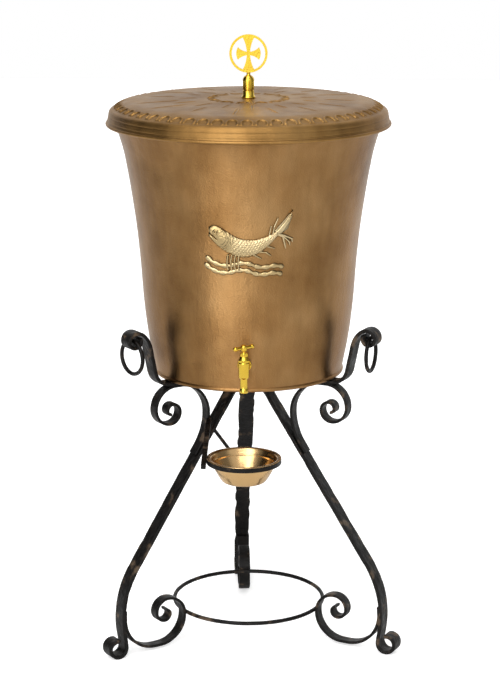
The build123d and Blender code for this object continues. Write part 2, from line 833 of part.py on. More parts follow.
# Ring handle: it hangs on the lower edges of the eye, turned a little on its upright line
ring_middle = (ring_outer_diameter - ring_wire) / 2
eye_half = bar_width / 2
slanted_wire = ring_wire / 2 / sqrt(1 - (eye_half / ring_middle) ** 2)
ring_play = eye_bore - seat_gap - loose_clearance - slanted_wire
ring_turn = degrees(atan(ring_play * sin(radians(ring_contact_angle)) / eye_half))
ring_drop = sqrt(ring_middle**2 - eye_half**2) + ring_play * cos(radians(ring_contact_angle))

for side, azimuth in (("left", 210 + stand_turn), ("right", 330 + stand_turn), ("rear", 90 + stand_turn)):
    with BuildPart() as leg:
        with BuildSketch(radial_plane(azimuth)):
            with BuildLine():
                draw(leg_start, leg_heading, [(bar_thickness, 0)] + leg_steps)
            trace(line_width=bar_thickness)
        extrude(amount=bar_width / 2, both=True)
        split(bisect_by=Plane.XY.offset(hub_underside), keep=Keep.BOTTOM)
    leg.part.label = f"leg_{side}"
    export_step(leg.part, f"parts/leg_{side}.step")

    with BuildPart() as foot_scroll:
        with BuildSketch(radial_plane(azimuth)):
            with BuildLine():
                draw(foot_scroll_start, lap_heading, foot_scroll_steps)
            trace(line_width=scroll_thickness)
        extrude(amount=scroll_width / 2, both=True)
    foot_scroll.part.label = f"foot_scroll_{side}"
    export_step(foot_scroll.part, f"parts/foot_scroll_{side}.step")

    with BuildPart() as upper_scroll:
        with BuildSketch(radial_plane(azimuth)):
            with BuildLine():
                draw(upper_scroll_start, leg_heading - 180, upper_scroll_steps)
            trace(line_width=scroll_thickness)
        extrude(amount=scroll_width / 2, both=True)
    upper_scroll.part.label = f"upper_scroll_{side}"
    export_step(upper_scroll.part, f"parts/upper_scroll_{side}.step")

    with BuildPart() as support:
        with BuildSketch(radial_plane(azimuth)):
            with BuildLine():
                draw(support_start, 0, support_steps)
            trace(line_width=bar_thickness)
        extrude(amount=bar_width / 2, both=True)
    support.part.label = f"support_{side}"
    export_step(support.part, f"parts/support_{side}.step")

    ring_centre = along(azimuth) * eye_centre.X + Vector(0, 0, eye_centre.Y - ring_drop)
    with BuildPart() as ring:
        with Locations(Plane(origin=ring_centre, z_dir=along(azimuth + ring_turn))):
            Torus(ring_middle, ring_wire / 2)
    ring.part.label = f"ring_{side}"
    export_step(ring.part, f"parts/ring_{side}.step")

with BuildPart() as hub_plate:
    with BuildSketch(Plane.XY.offset(hub_underside)):
        Circle(hub_radius)
    extrude(amount=hub_thickness)
hub_plate.part.label = "hub_plate"
export_step(hub_plate.part, "parts/hub_plate.step")

floor_ring_radius = scroll_side.X - scroll_thickness / 2 - floor_ring_rod / 2 + weld_depth
with BuildPart() as floor_ring:
    with Locations((0, 0, scroll_side.Y)):
        Torus(floor_ring_radius, floor_ring_rod / 2)
floor_ring.part.label = "floor_ring"
export_step(floor_ring.part, "parts/floor_ring.step")

# Arm of the hoop: it leaves the front edge of the left upper scroll and runs past the hoop
left = 210 + stand_turn
front = along(left + 90)
scroll_front = Plane(origin=front * (scroll_width / 2), z_dir=front)
arm_drop_angle = degrees(asin((upper_inner.Y - arm_start_height) / upper_drop[1][0]))
arm_root_radius = upper_inner.X + upper_drop[1][0] * (1 - cos(radians(arm_drop_angle)))
arm_root = along(left) * arm_root_radius + front * (scroll_width / 2)
hoop_centre = Vector(0, -tap_axis_reach)
to_hoop = hoop_centre - arm_root
arm_offset = hoop_outer + arm_width / 2 - weld_depth
arm_heading = degrees(atan2(to_hoop.Y, to_hoop.X)) - degrees(asin(arm_offset / to_hoop.length))
arm_run = sqrt(to_hoop.length**2 - arm_offset**2)
arm_slope = (arm_start_height - hoop_middle) / arm_run
arm_plane = Plane(origin=arm_root, x_dir=along(arm_heading), z_dir=beside(arm_heading))
with BuildPart() as bowl_arm:
    with BuildSketch(arm_plane):
        with BuildLine():
            Line(
                (-2 * arm_width, arm_start_height + 2 * arm_width * arm_slope),
                (arm_run + arm_overrun, hoop_middle - arm_overrun * arm_slope),
            )
        trace(line_width=arm_height)
    extrude(amount=arm_width / 2, both=True)
    split(bisect_by=scroll_front, keep=Keep.TOP)
bowl_arm.part.label = "bowl_arm"
export_step(bowl_arm.part, "parts/bowl_arm.step")

# Strut: from the front edge of the left leg to the back of the hoop
leg_front = Plane(origin=front * (bar_width / 2), z_dir=front)
strut_root_radius = hub_leg_radius + (hub_underside - strut_start_height) * tan(radians(leg_splay))
strut_root = along(left) * strut_root_radius + front * (bar_width / 2) + Vector(0, 0, strut_start_height)
strut_end = hoop_centre + along(strut_meets_hoop_at) * (hoop_outer - hoop_thickness / 2)
strut_end += Vector(0, 0, hoop_middle)
strut_line = strut_end - strut_root
strut_plane = Plane(origin=strut_root - strut_line.normalized() * bar_width, z_dir=strut_line)
with BuildPart() as bowl_strut:
    with BuildSketch(strut_plane):
        Circle(strut_diameter / 2)
    extrude(amount=strut_line.length + bar_width)
    split(bisect_by=leg_front, keep=Keep.TOP)
    with Locations(hoop_centre + Vector(0, 0, hoop_middle)):
        Cylinder(hoop_outer - weld_depth, 4 * hoop_height, mode=Mode.SUBTRACT)
bowl_strut.part.label = "bowl_strut"
export_step(bowl_strut.part, "parts/bowl_strut.step")
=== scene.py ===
import json
import math
import bpy
import numpy as np
from mathutils import Matrix, Vector


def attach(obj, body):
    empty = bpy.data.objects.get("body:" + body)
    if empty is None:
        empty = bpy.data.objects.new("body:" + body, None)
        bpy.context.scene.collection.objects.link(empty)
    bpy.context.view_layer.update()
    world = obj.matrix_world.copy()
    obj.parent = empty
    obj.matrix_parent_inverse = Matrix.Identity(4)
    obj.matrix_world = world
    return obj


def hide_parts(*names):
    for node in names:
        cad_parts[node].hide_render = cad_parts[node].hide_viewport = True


# Looks of the holy water urn. Lengths are in millimetres until a mesh is made, then in metres.
# A heading is a direction in an upright plane through an axis: 0 is outward, 90 degrees is up.

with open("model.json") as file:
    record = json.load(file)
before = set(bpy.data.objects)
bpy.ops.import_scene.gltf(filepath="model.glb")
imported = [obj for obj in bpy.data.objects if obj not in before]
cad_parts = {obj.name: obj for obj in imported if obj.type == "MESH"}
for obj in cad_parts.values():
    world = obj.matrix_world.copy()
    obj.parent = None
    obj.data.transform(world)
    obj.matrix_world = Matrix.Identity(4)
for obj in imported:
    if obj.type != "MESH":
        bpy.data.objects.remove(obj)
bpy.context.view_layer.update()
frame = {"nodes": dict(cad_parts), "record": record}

MM = 0.001

# Sizes that the pieces share with the CAD model
SEAT = 475.0  # top of the support bars
SEAT_GAP = 0.3  # between the bars and the vessel
WALL = 1.5  # sheet of the vessel and the lid
BASE_BEAD, RIM_BEAD, LID_BEAD = 3.5, 2.5, 3.0  # radii of the wired edges
BASE = complex(160.0, SEAT + SEAT_GAP + BASE_BEAD)
TAP_Y, TAP_Z = -199.659, 526.0  # the spindle's axis and the inlet's axis
SIDES = {"left": 215.0, "right": 335.0, "rear": 95.0}  # azimuths of the legs


def unit(heading):
    return complex(math.cos(math.radians(heading)), math.sin(math.radians(heading)))


def walk(point, heading, steps):
    """End of a chain of straight runs (length, 0) and bends (radius, turn)."""
    for size, turn in steps:
        if turn:
            side = math.copysign(size, turn)
            point += side * (unit(heading + turn - 90) - unit(heading - 90))
        else:
            point += size * unit(heading)
        heading += turn
    return point, heading


def sample(point, heading, steps, pitch):
    """Points, headings and distances along a chain, about a pitch apart."""
    points, headings, run = [point], [heading], [0.0]
    for size, turn in steps:
        length = abs(math.radians(turn)) * size if turn else size
        count = max(2, int(math.ceil(length / pitch)))
        for k in range(1, count + 1):
            part = [(size, turn * k / count)] if turn else [(size * k / count, 0)]
            p, h = walk(point, heading, part)
            points.append(p)
            headings.append(h)
            run.append(run[0] + length * k / count)
        point, heading = walk(point, heading, [(size, turn)])
        run[0] += length
    run[0] = 0.0
    return np.array(points), np.array(headings), np.array(run)


def arc(centre, radius, start, end, count):
    """Points of an arc as complex numbers, angles in degrees."""
    return centre + radius * np.exp(1j * np.radians(np.linspace(start, end, count)))


# Meshes

def new_object(name, verts, faces, surface, sharp=None):
    mesh = bpy.data.meshes.new(name)
    mesh.from_pydata((np.asarray(verts) * MM).tolist(), [], faces)
    mesh.validate()
    mesh.polygons.foreach_set("use_smooth", [True] * len(mesh.polygons))
    if sharp:
        mesh.set_sharp_from_angle(angle=math.radians(sharp))
    mesh.materials.append(surface)
    mesh.update()
    obj = bpy.data.objects.new(name, mesh)
    bpy.context.scene.collection.objects.link(obj)
    return obj


def grid_faces(rows, columns, close_rows=False, close_columns=False):
    """Quads of a grid of points that is stored row by row."""
    r = np.arange(rows if close_rows else rows - 1)
    c = np.arange(columns if close_columns else columns - 1)
    rr, cc = np.meshgrid(r, c, indexing="ij")
    nr, nc = (rr + 1) % rows, (cc + 1) % columns
    quads = np.stack([rr * columns + cc, rr * columns + nc, nr * columns + nc, nr * columns + cc], -1)
    return quads.reshape(-1, 4).tolist()


def lathe(name, profile, surface, segments, axis=(0.0, 0.0), closed=False, relief=None, sharp=None):
    """Turns a profile of complex (radius, height) points about an upright line. An open one gets flat ends.
    relief gives a shift along the profile's normal for each point and angle."""
    profile = np.asarray(profile)
    angle = np.arange(segments) * 2 * np.pi / segments
    after = np.roll(profile, -1)
    before = np.roll(profile, 1)
    if not closed:
        after[-1], before[0] = profile[-1], profile[0]
    normal = -1j * (after - before)
    normal = normal / np.maximum(np.abs(normal), 1e-9)
    p = np.repeat(profile[:, None], segments, 1)
    if relief is not None:
        p = p + normal[:, None] * relief(p, angle[None, :], normal[:, None])
    xyz = np.stack([p.real * np.cos(angle) + axis[0], p.real * np.sin(angle) + axis[1], p.imag], -1)
    faces = grid_faces(len(profile), segments, close_rows=closed, close_columns=True)
    verts = xyz.reshape(-1, 3)
    if not closed:
        for row, flip in ((0, False), (len(profile) - 1, True)):
            loop = list(range(row * segments, (row + 1) * segments))
            faces.append(loop if flip else loop[::-1])
    return new_object(name, verts, faces, surface, sharp)


TABLE = 512  # cells each way in a table of random numbers


def value_noise(x, y, seed, period=None):
    """Smooth noise from -1 to 1 on a unit grid. With a period it repeats along x."""
    table = np.random.default_rng(seed).uniform(-1, 1, (TABLE, TABLE))
    xi, yi = np.floor(x).astype(int), np.floor(y).astype(int)
    fx, fy = x - xi, y - yi
    fx, fy = fx * fx * (3 - 2 * fx), fy * fy * (3 - 2 * fy)
    wrap = period or TABLE
    x0, x1 = xi % wrap, (xi + 1) % wrap
    y0, y1 = yi % TABLE, (yi + 1) % TABLE
    low = table[x0, y0] * (1 - fx) + table[x1, y0] * fx
    high = table[x0, y1] * (1 - fx) + table[x1, y1] * fx
    return low * (1 - fy) + high * fy


def dimples(x, y, seed, period):
    """Overlapping shallow hammer marks on a unit grid, 0 at their rims and 1 in their middles."""
    table = np.random.default_rng(seed).uniform(0.2, 0.8, (TABLE, TABLE, 2))
    xi, yi = np.floor(x).astype(int), np.floor(y).astype(int)
    best = np.full(np.broadcast(x, y).shape, 9.0)
    for dx in (-1, 0, 1):
        for dy in (-1, 0, 1):
            cell = table[(xi + dx) % period, (yi + dy) % TABLE]
            gap = (xi + dx + cell[..., 0] - x) ** 2 + (yi + dy + cell[..., 1] - y) ** 2
            best = np.minimum(best, gap)
    return np.clip(1 - best / 0.5, 0, 1)


# Materials

def material(name, build):
    mat = bpy.data.materials.new(name)
    mat.use_nodes = True
    nodes, links = mat.node_tree.nodes, mat.node_tree.links
    shader = nodes["Principled BSDF"]
    build(nodes, links, shader)
    return mat


def noise_node(nodes, links, scale, detail, stretch=(1, 1, 1)):
    coordinates = nodes.new("ShaderNodeTexCoord")
    mapping = nodes.new("ShaderNodeMapping")
    mapping.inputs["Scale"].default_value = stretch
    links.new(coordinates.outputs["Object"], mapping.inputs["Vector"])
    noise = nodes.new("ShaderNodeTexNoise")
    noise.inputs["Scale"].default_value = scale
    noise.inputs["Detail"].default_value = detail
    links.new(mapping.outputs["Vector"], noise.inputs["Vector"])
    return noise.outputs["Fac"]


def ramp(nodes, links, source, stops):
    """Color over a value. A stop is a position with a grey level or with a color."""
    node = nodes.new("ShaderNodeValToRGB")
    elements = node.color_ramp.elements
    while len(elements) < len(stops):
        elements.new(0.5)
    for element, (position, color) in zip(elements, stops):
        element.position = position
        element.color = (*color, 1) if isinstance(color, tuple) else (color, color, color, 1)
    links.new(source, node.inputs["Fac"])
    return node.outputs["Color"]


def bump(nodes, links, shader, source, distance):
    node = nodes.new("ShaderNodeBump")
    node.inputs["Distance"].default_value = distance
    node.inputs["Strength"].default_value = 1.0
    links.new(source, node.inputs["Height"])
    links.new(node.outputs["Normal"], shader.inputs["Normal"])


def multiply(nodes, links, a, b):
    """Product of two colors."""
    node = nodes.new("ShaderNodeMix")
    node.data_type = "RGBA"
    node.blend_type = "MULTIPLY"
    node.inputs[0].default_value = 1.0
    links.new(a, node.inputs[6])
    links.new(b, node.inputs[7])
    return node.outputs[2]


def metal(name, colors, rough, grain, grain_depth, streak=None, edge=None, spun=0.0, lift=False):
    """A metal with patina patches, uneven gloss between two levels and a fine surface grain.
    streak is the scale, the stretch and the darkest level of its streaks. edge is the level of its hollows
    and of its worn edges. spun turns the highlights as on spun sheet, and lift darkens the relief's ground."""

    def build(nodes, links, shader):
        shader.inputs["Metallic"].default_value = 1.0
        patches = noise_node(nodes, links, 9, 6)
        color = ramp(nodes, links, patches, [(0.3, colors[0]), (0.52, colors[1]), (0.72, colors[2])])
        if streak:
            lines = noise_node(nodes, links, streak[0], 3, streak[1])
            tint = ramp(nodes, links, lines, [(0.3, streak[2]), (0.7, 1.0)])
            color = multiply(nodes, links, color, tint)
        if edge:
            geometry = nodes.new("ShaderNodeNewGeometry")
            hollows = [(0.42, edge[0]), (0.5, 0.8), (0.56, edge[1])]
            worn = ramp(nodes, links, geometry.outputs["Pointiness"], hollows)
            color = multiply(nodes, links, color, worn)
        if lift:
            height = nodes.new("ShaderNodeAttribute")
            height.attribute_name = "lift"
            dark = ramp(nodes, links, height.outputs["Fac"], [(0.05, 0.05), (0.45, 0.4), (0.85, 1.0)])
            color = multiply(nodes, links, color, dark)
        if spun:
            shader.inputs["Anisotropic"].default_value = spun
            shader.inputs["Anisotropic Rotation"].default_value = 0.25
            tangent = nodes.new("ShaderNodeTangent")
            tangent.direction_type = "RADIAL"
            tangent.axis = "Z"
            links.new(tangent.outputs[0], shader.inputs["Tangent"])
        links.new(color, shader.inputs["Base Color"])
        gloss = noise_node(nodes, links, 23, 5)
        links.new(ramp(nodes, links, gloss, [(0.3, rough[0]), (0.7, rough[1])]), shader.inputs["Roughness"])
        bump(nodes, links, shader, noise_node(nodes, links, grain, 3), grain_depth)

    return material(name, build)


aged_copper = metal("aged_copper", [(0.24, 0.12, 0.038), (0.36, 0.195, 0.072), (0.45, 0.26, 0.105)], (0.36, 0.44),
                    420, 0.0005, streak=(60, (1, 1, 0.2), 0.84), spun=0.85)
lid_copper = metal("lid_copper", [(0.28, 0.145, 0.042), (0.40, 0.22, 0.07), (0.48, 0.28, 0.10)], (0.38, 0.5),
                   420, 0.0003, streak=(50, (1, 1, 0.3), 0.8), edge=(0.25, 1.0))
bright_copper = metal("bright_copper", [(0.50, 0.31, 0.13), (0.62, 0.40, 0.18), (0.70, 0.47, 0.23)], (0.14, 0.24),
                      300, 0.0001)
gilt_brass = metal("gilt_brass", [(0.60, 0.36, 0.025), (0.72, 0.47, 0.05), (0.80, 0.56, 0.09)], (0.12, 0.22),
                   300, 0.0001)
aged_brass = metal("aged_brass", [(0.42, 0.29, 0.13), (0.62, 0.46, 0.23), (0.78, 0.62, 0.36)], (0.28, 0.42),
                   350, 0.0003, edge=(0.12, 1.0))
relief_brass = metal("relief_brass", [(0.46, 0.32, 0.14), (0.64, 0.48, 0.24), (0.78, 0.62, 0.36)], (0.26, 0.4),
                     350, 0.0003, edge=(0.1, 1.0), lift=True)


def build_iron(nodes, links, shader):
    shader.inputs["Specular IOR Level"].default_value = 0.2
    patches = noise_node(nodes, links, 45, 6)
    black, scale, rust = (0.002, 0.0016, 0.0014), (0.006, 0.0045, 0.0035), (0.09, 0.062, 0.04)
    color = ramp(nodes, links, patches, [(0.4, black), (0.58, scale), (0.68, rust)])
    links.new(color, shader.inputs["Base Color"])
    gloss = noise_node(nodes, links, 60, 4)
    links.new(ramp(nodes, links, gloss, [(0.3, 0.32), (0.7, 0.6)]), shader.inputs["Roughness"])
    bump(nodes, links, shader, noise_node(nodes, links, 160, 4), 0.0012)


wrought_iron = material("wrought_iron", build_iron)


def build_rubber(nodes, links, shader):
    color = ramp(nodes, links, noise_node(nodes, links, 80, 4), [(0.3, 0.02), (0.7, 0.045)])
    links.new(color, shader.inputs["Base Color"])
    shader.inputs["Roughness"].default_value = 0.7
    bump(nodes, links, shader, noise_node(nodes, links, 500, 3), 0.0002)


rubber = material("rubber", build_rubber)

# The CAD pieces that nothing replaces show these too
slot_materials = {
    "aged_copper": aged_copper, "bright_copper": bright_copper, "gilt_brass": gilt_brass,
    "aged_brass": aged_brass, "wrought_iron": wrought_iron, "rubber": rubber,
}
for part in frame["record"]["subparts"]:
    for material_slot in frame["nodes"][part["node"]].material_slots:
        material_slot.link = "OBJECT"
        material_slot.material = slot_materials[part["material_slot"]]


def place(obj, body, slot, *nodes):
    """Puts a piece on its body, in place of the CAD nodes it draws, which it hides. slot is not used."""
    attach(obj, body)
    if nodes:
        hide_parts(*nodes)


# Vessel: one sheet with wired edges, planished all over

def flare_radius(height, low, high):
    """Radius of a bend that rises by a height while the wall's lean goes between two angles."""
    return height / abs(math.sin(math.radians(high)) - math.sin(math.radians(low)))


BASE_LEAN, WAIST_LEAN, FLARE_LEAN, RIM_LEAN = 12, 4, 10.8, 24  # of the wall, from upright
BASE_HEADING = 90 - BASE_LEAN
side = [
    (flare_radius(145, WAIST_LEAN, BASE_LEAN), BASE_LEAN - WAIST_LEAN),
    (30 / math.cos(math.radians(WAIST_LEAN)), 0),
    (flare_radius(190, WAIST_LEAN, FLARE_LEAN), WAIST_LEAN - FLARE_LEAN),
    (flare_radius(72, FLARE_LEAN, RIM_LEAN), FLARE_LEAN - RIM_LEAN),
]
RIM, rim_heading = walk(BASE, BASE_HEADING, side)
middle, middle_heading, middle_run = sample(BASE, BASE_HEADING, side, 2.2)
outward = np.exp(1j * np.radians(middle_heading - 90))
wall_z = (middle + outward * WALL / 2).imag
wall_r = (middle + outward * WALL / 2).real


def wall_radius(z):
    """Radius of the vessel's outside at a height."""
    return np.interp(z, wall_z, wall_r)


def bead_reach(radius):
    """Distance from a bead's centre at which the sheet leaves the bead."""
    return math.sqrt(radius**2 - (WALL / 2) ** 2)


def bead_join(radius):
    """Angle between the sheet's middle and the line where a bead meets its face."""
    return math.degrees(math.asin(WALL / 2 / radius))


inside_run = (middle_run > bead_reach(BASE_BEAD)) & (middle_run < middle_run[-1] - bead_reach(RIM_BEAD))
outer = (middle + outward * WALL / 2)[inside_run]
inner = (middle - outward * WALL / 2)[inside_run][::-4]
low_join, high_join = bead_join(BASE_BEAD), bead_join(RIM_BEAD)
base_bead = arc(BASE, BASE_BEAD, BASE_HEADING + low_join - 360, BASE_HEADING - low_join, 20)
rim_bead = arc(RIM, RIM_BEAD, rim_heading - 180 + high_join, rim_heading + 180 - high_join, 18)
profile = np.concatenate([base_bead, outer, rim_bead, inner])


def planished(p, angle, normal):
    """Hammer marks on the outside and the inside of the sheet, fading out at its edges."""
    z = p.imag
    fade = np.clip((z - BASE.imag - 6) / 12, 0, 1) * np.clip((RIM.imag - 4 - z) / 10, 0, 1)
    u = angle / (2 * np.pi)
    marks_around, waves_around = 150, 26
    marks = dimples(u * marks_around, z / 8.0, 3, marks_around)
    broad = value_noise(u * waves_around, z / 60, 5, waves_around)
    return fade * (-0.16 * marks + 0.35 * broad * np.sign(normal.real))


vessel = lathe("vessel_sheet", profile, aged_copper, 720, closed=True, relief=planished, sharp=50)
place(vessel, "vessel", "aged_copper", "vessel_body")


# Lid: dome with chased rays, two rings of raised arches, and a plain polished skirt
COLLAR = 919.35  # height of the collar's top
LID_PLAY = 1.3  # between the rim's bead and the skirt
CROWN, KNUCKLE, SHOULDER = 4500, 70, 8  # radii from the middle of the lid outward
KNUCKLE_SLOPE, SKIRT_LEAN, SKIRT_HEIGHT = 36, 10, 18
skirt_top = RIM.real + RIM_BEAD + LID_PLAY + WALL / 2 / math.cos(math.radians(SKIRT_LEAN))
shoulder = (SHOULDER, KNUCKLE_SLOPE + SKIRT_LEAN - 90)
knuckle_end = skirt_top - walk(0j, -KNUCKLE_SLOPE, [shoulder])[0].real
crown_reach = knuckle_end - KNUCKLE * math.sin(math.radians(KNUCKLE_SLOPE))
crown_slope = math.degrees(math.asin(crown_reach / (CROWN - KNUCKLE)))
lid_steps = [
    (CROWN, -crown_slope), (KNUCKLE, crown_slope - KNUCKLE_SLOPE), shoulder,
    (SKIRT_HEIGHT / math.cos(math.radians(SKIRT_LEAN)), 0),
]
drop = walk(0j, 0, lid_steps[:3])[0].imag
APEX = complex(0, COLLAR + WALL - drop)
LID_TOP = APEX.imag + WALL / 2
STUD_HOLE = 3.3
lid_edge, skirt_heading = walk(APEX, 0, lid_steps)
lid_middle, lid_heading, lid_run = sample(APEX, 0, lid_steps, 1.1)
lid_out = np.exp(1j * np.radians(lid_heading + 90))
keep = (lid_middle.real > STUD_HOLE) & (lid_run < lid_run[-1] - bead_reach(LID_BEAD))
lid_outer = (lid_middle + lid_out * WALL / 2)[keep]
lid_inner = (lid_middle - lid_out * WALL / 2)[keep][::-4]
join = bead_join(LID_BEAD)
edge_bead = arc(lid_edge, LID_BEAD, skirt_heading + 180 - join, skirt_heading - 180 + join, 22)
lid_profile = np.concatenate([lid_outer, edge_bead, lid_inner])[::-1]


def arches(radius, angle, count, centre, half_width, rise):
    """Raised arches with a sunk ground, in a ring. Their tops point to the finial."""
    x = ((angle * count / (2 * np.pi)) % 1 - 0.5) * 2 * np.pi * radius / count
    y = centre - radius
    reach = np.sqrt((x / half_width) ** 2 + (y / rise) ** 2)
    scale = 0.5 * (half_width + rise)
    ridge = np.exp(-(((reach - 1) * scale) / 1.5) ** 2)
    sunk = np.clip((1 - reach) * scale / 3, 0, 1)
    return np.where(y > -2, 1.0, np.exp(-((y + 2) / 1.5) ** 2)) * (1.3 * ridge - 0.7 * sunk)


def rays(radius, angle, count, turn, start, end, seed):
    """Chased lines that run out from the finial, each a groove between two soft lips."""
    table = np.random.default_rng(seed).uniform(-1, 1, (3, count))
    cell = (angle * count / (2 * np.pi) + turn) % count
    index = np.floor(cell).astype(int)
    lean = table[0][index] * 0.12
    across = (cell - index - 0.5 - lean * 0.5) * 2 * np.pi * radius / count - table[1][index] * 0.1 * (radius - start)
    low = start + table[2][index] * 6
    high = end + table[0][index] * 10
    along = np.clip((radius - low) / 8, 0, 1) * np.clip((high - radius) / 14, 0, 1)
    return along * (-0.9 * np.exp(-(across / 1.1) ** 2) + 0.55 * np.exp(-((np.abs(across) - 2.6) / 1.3) ** 2))


EDGE_ARCHES, MIDDLE_ARCHES, DOME_EDGE = 223.0, 66.0, 229  # radii
SKIRT_GROOVES, SKIRT_LOW = (917.0, 908.6), 905.5  # heights


def repousse(p, angle, normal):
    """The lid's whole ornament: arches, rays and hammer marks on top, and two grooves round the skirt."""
    r, z = p.real, p.imag
    on_dome = (normal.imag > 0.15) & (r < DOME_EDGE)
    dome = arches(r, angle, 59, EDGE_ARCHES, 9.0, 10.5) + arches(r, angle + 0.1, 14, MIDDLE_ARCHES, 10.5, 11.0)
    dome = dome + rays(r, angle, 15, 0.0, 88.0, 128.0, 11) + rays(r, angle, 15, 0.5, 122.0, 186.0, 12)
    u = angle / (2 * np.pi)
    marks_around = 120
    dome = dome - 0.12 * dimples(u * marks_around, r / 9.0, 4, marks_around)
    grooves = -0.45 * sum(np.exp(-((z - groove) / 0.9) ** 2) for groove in SKIRT_GROOVES)
    on_skirt = (normal.real > 0.8) & (z > SKIRT_LOW)
    sink = 0.35  # keeps the raised work inside the CAD model's height
    return np.where(on_dome, dome - sink, np.where(on_skirt, grooves, 0.0))


lid = lathe("lid_sheet", lid_profile, lid_copper, 1080, closed=True, relief=repousse, sharp=60)
place(lid, "lid", "aged_copper", "lid_shell")


# Iron bars: flat bar drawn along a chain, with hammered faces and dented edges

def section(width, thickness, corner=1.1, across=8, through=2):
    """Rounded rectangle as (across, through) points, in order around the bar."""
    half_w, half_t = width / 2 - corner, thickness / 2 - corner
    edge_points = []
    corners = [(half_w, half_t, 0), (-half_w, half_t, 90), (-half_w, -half_t, 180), (half_w, -half_t, 270)]
    for k, (x, y, start) in enumerate(corners):
        for turn in (0, 45, 90):
            angle = math.radians(start + turn)
            edge_points.append((x + corner * math.cos(angle), y + corner * math.sin(angle)))
        nx, ny, _ = corners[(k + 1) % 4]
        count = across if k % 2 == 0 else through
        end = math.radians(start + 90)
        ox, oy = corner * math.cos(end), corner * math.sin(end)
        for j in range(1, count):
            edge_points.append((x + (nx - x) * j / count + ox, y + (ny - y) * j / count + oy))
    return np.array(edge_points)


def bar(name, azimuth, start, heading, steps, width, thickness, dent, seed, pitch=2.0):
    """A forged bar in the upright plane of an azimuth. dent is how deep its edges are hammered."""
    points, headings, run = sample(start, heading, steps, pitch)
    shape = section(width, thickness)
    a, t = shape[:, 0][None, :], shape[:, 1][None, :]
    s = run[:, None]
    edge = np.clip((np.abs(a) / (width / 2) - 0.55) / 0.45, 0, 1) ** 2
    flip = np.where(a > 0, 0.0, 37.0)  # so that the two edges differ
    beat = value_noise(s / 9 + flip, flip + seed, seed + 20)
    notch = np.clip(value_noise(s / 16 + flip, 3.3 * flip, seed + 40) + 0.35, 0, 1.2)
    a = a * (1 - (dent * (0.55 + 0.45 * beat) * notch) / (width / 2) * edge)
    other_face = np.where(t > 0, 0, 50)
    face = value_noise(s / 8, a / 8 + other_face, seed + 60)
    lump = value_noise(s / 30, a / 30 + other_face, seed + 80)
    t = t * (1 - 0.05 * np.clip(face, 0, 1) - 0.05 * np.clip(lump, 0, 1))
    bend = np.exp(1j * np.radians(headings + 90))[:, None]
    p = points[:, None] + bend * t
    az = math.radians(azimuth)
    x = p.real * math.cos(az) - a * math.sin(az)
    y = p.real * math.sin(az) + a * math.cos(az)
    xyz = np.stack([x, y, p.imag], -1)
    n = shape.shape[0]
    faces = grid_faces(len(points), n, close_columns=True)
    faces.append(list(range(n)))
    faces.append(list(range((len(points) - 1) * n, len(points) * n))[::-1])
    return new_object(name, xyz.reshape(-1, 3), faces, wrought_iron, 50)


# Legs, splayed from the hub plate, bent to the vertical at the knee and curled up at the foot
BAR_W, BAR_T, SCROLL_W, SCROLL_T = 28.0, 6.0, 20.0, 5.0  # widths and thicknesses of the flat bars
SPLAY, NECK_LEAN, KNEE, HEEL = 34.5, 9.0, 160.0, 15.5
UNDER = SEAT - BAR_T
HUB_UNDER = UNDER - 6
leg_heading = 270 + SPLAY
leg_top = complex(22, HUB_UNDER)
foot = [(KNEE, -SPLAY - NECK_LEAN), (20, 0), (HEEL, 200), (13, 100)]
foot_drop = HEEL * (1 + math.sin(math.radians(NECK_LEAN))) + BAR_T / 2 - walk(0j, leg_heading, foot[:2])[0].imag
leg_length = (HUB_UNDER - foot_drop) / math.cos(math.radians(SPLAY))
top_cut = BAR_T * 0.6
leg_steps = [(leg_length - top_cut, 0)] + foot
leg_start = leg_top + unit(leg_heading) * top_cut


def spiral(radius, ratio):
    """Quarter turns of a scroll's end, each tighter by the ratio."""
    return [(radius * ratio**k, -90) for k in range(6)]


# Foot scrolls. They lie against the inner side of the legs, and the floor ring touches their inner ends
offset = (BAR_T + SCROLL_T) / 2
LAP_TURN = 6
lap_point, lap_heading = walk(leg_top, leg_heading, [(leg_length, 0), (KNEE, LAP_TURN - SPLAY)])
foot_start = lap_point + unit(lap_heading - 90) * offset
lap_step = (KNEE - offset, -LAP_TURN)
upright, _ = walk(foot_start, lap_heading, [lap_step])
foot_scroll_steps = [lap_step, (upright.imag - 5 - SCROLL_T / 2, -90), (12, 0)] + spiral(48, 0.69)
ring_side, _ = walk(foot_start, lap_heading, foot_scroll_steps[:4])
ROD = 3.5  # radius of the round bar of the floor ring and the handles
RING_SINK = 0.05  # the floor ring reaches this far into the scrolls
RING_R, RING_Z = ring_side.real - SCROLL_T / 2 - ROD + RING_SINK, ring_side.imag

# Upper scrolls, from the leg up to the underside of the support bar and round below its end
SCROLL_END, SCROLL_TURN, SCROLL_FLAT, SCROLL_BEND, SCROLL_LAP = 190, 38, 9.5, 56, 16
flat_start = complex(SCROLL_END - SCROLL_TURN - SCROLL_FLAT, UNDER - SCROLL_T / 2)
upper_inner, _ = walk(flat_start, 180, [(SCROLL_BEND, 90)])
across_leg = unit(SPLAY)
gap = ((upper_inner - leg_top) * across_leg.conjugate()).real - offset
sweep = gap / (1 - math.cos(math.radians(SPLAY)))
upper_start, _ = walk(flat_start, 180, [(SCROLL_BEND, 90), (sweep, SPLAY), (SCROLL_LAP, 0)])
upper_steps = [(SCROLL_LAP, 0), (sweep, -SPLAY), (SCROLL_BEND, -90), (SCROLL_FLAT, 0)] + spiral(SCROLL_TURN, 0.72)

